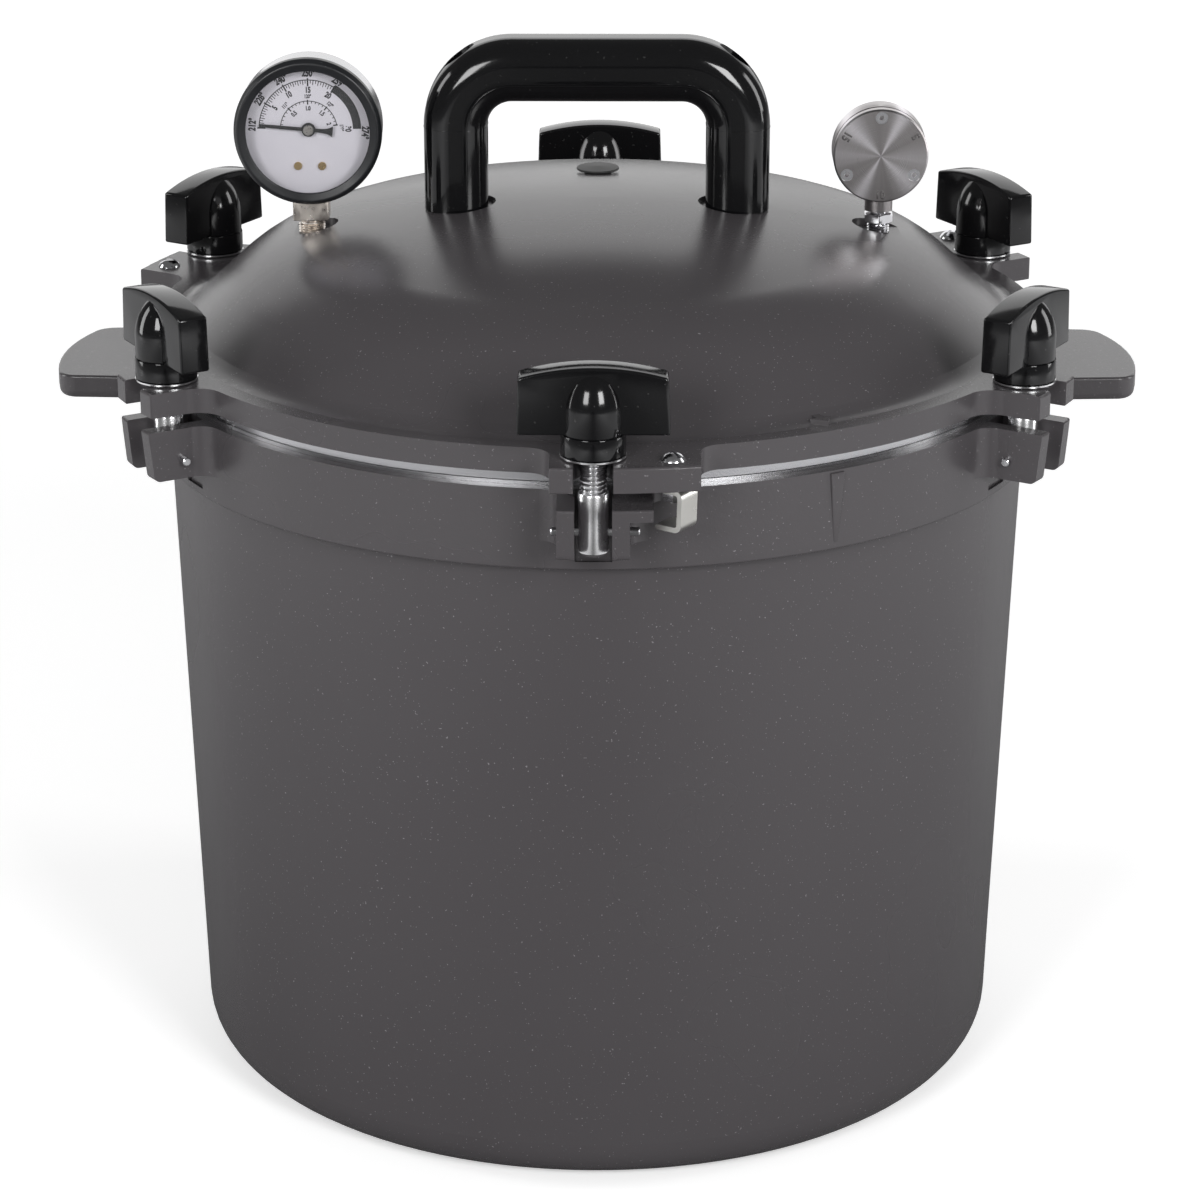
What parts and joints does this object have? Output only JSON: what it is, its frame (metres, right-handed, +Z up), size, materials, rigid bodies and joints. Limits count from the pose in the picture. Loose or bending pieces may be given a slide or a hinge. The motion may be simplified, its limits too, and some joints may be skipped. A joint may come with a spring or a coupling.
{
  "type": "pressure canner",
  "caption": "Tall cast stove-top pressure canner with a domed lid held by swing-bolt clamps with wing nuts, a dial gauge, a regulator weight and a U-shaped top handle.",
  "frame": {"origin": "centre of the pot's base, on the surface it stands on", "axes": "+Z up, +X to the right towards one side handle, -Y towards the front clamp and the way the gauge faces"},
  "size_m": [0.4056, 0.3808, 0.395],
  "materials": {
    "cast_charcoal": "satin charcoal finish on cast aluminium",
    "bare_aluminium": "spun, matt",
    "plated_steel": "bright plated",
    "zinc_strap": "bright zinc plated",
    "black_phenolic": "glossy moulded phenolic",
    "black_enamel": "semi-gloss black enamel",
    "nickel": "nickel plated brass",
    "gauge_glass": "clear flat lens",
    "dial_white": "printed satin dial",
    "brass": "turned brass",
    "pointer_black": "matt black",
    "weight_steel": "radially brushed",
    "black_rubber": "moulded rubber"
  },
  "bodies": {
    "pot": {"pot_body": "cast_charcoal", "hinge_pins": "plated_steel"},
    "rack": {"canning_rack": "bare_aluminium"},
    "lid": {"lid": "cast_charcoal", "top_handle": "black_phenolic", "handle_screws": "plated_steel", "gauge_socket": "nickel", "gauge_case": "plated_steel", "gauge_bezel": "black_enamel", "gauge_lens": "gauge_glass", "gauge_dial": "dial_white", "dial_screws": "brass", "movement_plates": "brass", "bourdon_tube": "brass", "vent_pipe": "plated_steel", "lid_hooks": "zinc_strap", "hook_screws": "plated_steel", "hook_nuts": "plated_steel"},
    "sector": {"gauge_sector": "brass"},
    "link": {"gauge_link": "brass"},
    "pointer": {"pointer_arbor": "plated_steel", "gauge_pointer": "pointer_black"},
    "weight": {"regulator_weight": "weight_steel", "weight_plugs": "plated_steel"},
    "plug": {"overpressure_plug": "black_rubber"},
    "bolt_front": {"swing_bolt_front": "plated_steel"},
    "washer_front": {"seat_washer_front": "plated_steel"},
    "insert_front": {"nut_insert_front": "plated_steel"},
    "wing_front": {"wing_nut_front": "black_phenolic"},
    "bolt_front_right": {"swing_bolt_front_right": "plated_steel"},
    "washer_front_right": {"seat_washer_front_right": "plated_steel"},
    "insert_front_right": {"nut_insert_front_right": "plated_steel"},
    "wing_front_right": {"wing_nut_front_right": "black_phenolic"},
    "bolt_rear_right": {"swing_bolt_rear_right": "plated_steel"},
    "washer_rear_right": {"seat_washer_rear_right": "plated_steel"},
    "insert_rear_right": {"nut_insert_rear_right": "plated_steel"},
    "wing_rear_right": {"wing_nut_rear_right": "black_phenolic"},
    "bolt_rear": {"swing_bolt_rear": "plated_steel"},
    "washer_rear": {"seat_washer_rear": "plated_steel"},
    "insert_rear": {"nut_insert_rear": "plated_steel"},
    "wing_rear": {"wing_nut_rear": "black_phenolic"},
    "bolt_rear_left": {"swing_bolt_rear_left": "plated_steel"},
    "washer_rear_left": {"seat_washer_rear_left": "plated_steel"},
    "insert_rear_left": {"nut_insert_rear_left": "plated_steel"},
    "wing_rear_left": {"wing_nut_rear_left": "black_phenolic"},
    "bolt_front_left": {"swing_bolt_front_left": "plated_steel"},
    "washer_front_left": {"seat_washer_front_left": "plated_steel"},
    "insert_front_left": {"nut_insert_front_left": "plated_steel"},
    "wing_front_left": {"wing_nut_front_left": "black_phenolic"}
  },
  "joints": [
    {"name": "lid_lift", "type": "slide", "parent": "pot", "child": "lid", "axis": [0, 0, 1], "range_m": [0, 0.0125]},
    {"name": "rack_lift", "type": "slide", "parent": "pot", "child": "rack", "axis": [0, 0, 1], "range_m": [0, 0.24]},
    {"name": "weight_lift", "type": "slide", "parent": "lid", "child": "weight", "axis": [0, 0, 1], "range_m": [0, 0.04]},
    {"name": "plug_pop", "type": "slide", "parent": "lid", "child": "plug", "axis": [0, 0, 1], "range_m": [0, 0.02]},
    {"name": "sector_turn", "type": "hinge", "parent": "lid", "child": "sector", "pos_m": [-0.107, 0, 0.3484], "axis": [0, -1, 0], "range_deg": [0, 30], "stiffness_Nm_per_rad": 0.002},
    {"name": "pointer_turn", "type": "hinge", "parent": "lid", "child": "pointer", "pos_m": [-0.107, 0, 0.361], "axis": [0, -1, 0], "range_deg": [-180, 0]},
    {"name": "link_turn", "type": "hinge", "parent": "sector", "child": "link", "pos_m": [-0.1135, 0, 0.3474], "axis": [0, -1, 0], "range_deg": [-30, 0]},
    {"name": "bolt_swing_front", "type": "hinge", "parent": "pot", "child": "bolt_front", "pos_m": [0, -0.177, 0.2624], "axis": [1, 0, 0], "range_deg": [0, 60.01]},
    {"name": "washer_rise_front", "type": "slide", "parent": "bolt_front", "child": "washer_front", "axis": [0, 0, 1], "range_m": [0, 0.02461]},
    {"name": "nut_rise_front", "type": "slide", "parent": "washer_front", "child": "insert_front", "axis": [0, 0, 1], "range_m": [0, 0.00437]},
    {"name": "wing_turn_front", "type": "hinge", "parent": "insert_front", "child": "wing_front", "pos_m": [0, -0.177, 0.3], "axis": [0, 0, 1], "range_deg": [0, 990]},
    {"name": "bolt_swing_front_right", "type": "hinge", "parent": "pot", "child": "bolt_front_right", "pos_m": [0.15329, -0.0885, 0.2624], "axis": [0.5, 0.866, 0], "range_deg": [0, 60.01]},
    {"name": "washer_rise_front_right", "type": "slide", "parent": "bolt_front_right", "child": "washer_front_right", "axis": [0, 0, 1], "range_m": [0, 0.02461]},
    {"name": "nut_rise_front_right", "type": "slide", "parent": "washer_front_right", "child": "insert_front_right", "axis": [0, 0, 1], "range_m": [0, 0.00437]},
    {"name": "wing_turn_front_right", "type": "hinge", "parent": "insert_front_right", "child": "wing_front_right", "pos_m": [0.15329, -0.0885, 0.3], "axis": [0, 0, 1], "range_deg": [0, 990]},
    {"name": "bolt_swing_rear_right", "type": "hinge", "parent": "pot", "child": "bolt_rear_right", "pos_m": [0.15329, 0.0885, 0.2624], "axis": [-0.5, 0.866, 0], "range_deg": [0, 60.01]},
    {"name": "washer_rise_rear_right", "type": "slide", "parent": "bolt_rear_right", "child": "washer_rear_right", "axis": [0, 0, 1], "range_m": [0, 0.02461]},
    {"name": "nut_rise_rear_right", "type": "slide", "parent": "washer_rear_right", "child": "insert_rear_right", "axis": [0, 0, 1], "range_m": [0, 0.00437]},
    {"name": "wing_turn_rear_right", "type": "hinge", "parent": "insert_rear_right", "child": "wing_rear_right", "pos_m": [0.15329, 0.0885, 0.3], "axis": [0, 0, 1], "range_deg": [0, 990]},
    {"name": "bolt_swing_rear", "type": "hinge", "parent": "pot", "child": "bolt_rear", "pos_m": [0, 0.177, 0.2624], "axis": [-1, 0, 0], "range_deg": [0, 60.01]},
    {"name": "washer_rise_rear", "type": "slide", "parent": "bolt_rear", "child": "washer_rear", "axis": [0, 0, 1], "range_m": [0, 0.02461]},
    {"name": "nut_rise_rear", "type": "slide", "parent": "washer_rear", "child": "insert_rear", "axis": [0, 0, 1], "range_m": [0, 0.00437]},
    {"name": "wing_turn_rear", "type": "hinge", "parent": "insert_rear", "child": "wing_rear", "pos_m": [0, 0.177, 0.3], "axis": [0, 0, 1], "range_deg": [0, 990]},
    {"name": "bolt_swing_rear_left", "type": "hinge", "parent": "pot", "child": "bolt_rear_left", "pos_m": [-0.15329, 0.0885, 0.2624], "axis": [-0.5, -0.866, 0], "range_deg": [0, 60.01]},
    {"name": "washer_rise_rear_left", "type": "slide", "parent": "bolt_rear_left", "child": "washer_rear_left", "axis": [0, 0, 1], "range_m": [0, 0.02461]},
    {"name": "nut_rise_rear_left", "type": "slide", "parent": "washer_rear_left", "child": "insert_rear_left", "axis": [0, 0, 1], "range_m": [0, 0.00437]},
    {"name": "wing_turn_rear_left", "type": "hinge", "parent": "insert_rear_left", "child": "wing_rear_left", "pos_m": [-0.15329, 0.0885, 0.3], "axis": [0, 0, 1], "range_deg": [0, 990]},
    {"name": "bolt_swing_front_left", "type": "hinge", "parent": "pot", "child": "bolt_front_left", "pos_m": [-0.15329, -0.0885, 0.2624], "axis": [0.5, -0.866, 0], "range_deg": [0, 60.01]},
    {"name": "washer_rise_front_left", "type": "slide", "parent": "bolt_front_left", "child": "washer_front_left", "axis": [0, 0, 1], "range_m": [0, 0.02461]},
    {"name": "nut_rise_front_left", "type": "slide", "parent": "washer_front_left", "child": "insert_front_left", "axis": [0, 0, 1], "range_m": [0, 0.00437]},
    {"name": "wing_turn_front_left", "type": "hinge", "parent": "insert_front_left", "child": "wing_front_left", "pos_m": [-0.15329, -0.0885, 0.3], "axis": [0, 0, 1], "range_deg": [0, 990]}
  ],
  "couplings": [
    {"joint": "pointer_turn", "follows": "sector_turn", "ratio": -6},
    {"joint": "link_turn", "follows": "sector_turn", "ratio": -1},
    {"joint": "bolt_swing_front", "follows": "lid_lift", "rad_per_m": 83.776},
    {"joint": "washer_rise_front", "follows": "lid_lift", "ratio": 1.9685},
    {"joint": "nut_rise_front", "follows": "wing_turn_front", "m_per_rad": 0.00025266},
    {"joint": "bolt_swing_front_right", "follows": "lid_lift", "rad_per_m": 83.776},
    {"joint": "washer_rise_front_right", "follows": "lid_lift", "ratio": 1.9685},
    {"joint": "nut_rise_front_right", "follows": "wing_turn_front_right", "m_per_rad": 0.00025266},
    {"joint": "bolt_swing_rear_right", "follows": "lid_lift", "rad_per_m": 83.776},
    {"joint": "washer_rise_rear_right", "follows": "lid_lift", "ratio": 1.9685},
    {"joint": "nut_rise_rear_right", "follows": "wing_turn_rear_right", "m_per_rad": 0.00025266},
    {"joint": "bolt_swing_rear", "follows": "lid_lift", "rad_per_m": 83.776},
    {"joint": "washer_rise_rear", "follows": "lid_lift", "ratio": 1.9685},
    {"joint": "nut_rise_rear", "follows": "wing_turn_rear", "m_per_rad": 0.00025266},
    {"joint": "bolt_swing_rear_left", "follows": "lid_lift", "rad_per_m": 83.776},
    {"joint": "washer_rise_rear_left", "follows": "lid_lift", "ratio": 1.9685},
    {"joint": "nut_rise_rear_left", "follows": "wing_turn_rear_left", "m_per_rad": 0.00025266},
    {"joint": "bolt_swing_front_left", "follows": "lid_lift", "rad_per_m": 83.776},
    {"joint": "washer_rise_front_left", "follows": "lid_lift", "ratio": 1.9685},
    {"joint": "nut_rise_front_left", "follows": "wing_turn_front_left", "m_per_rad": 0.00025266}
  ]
}
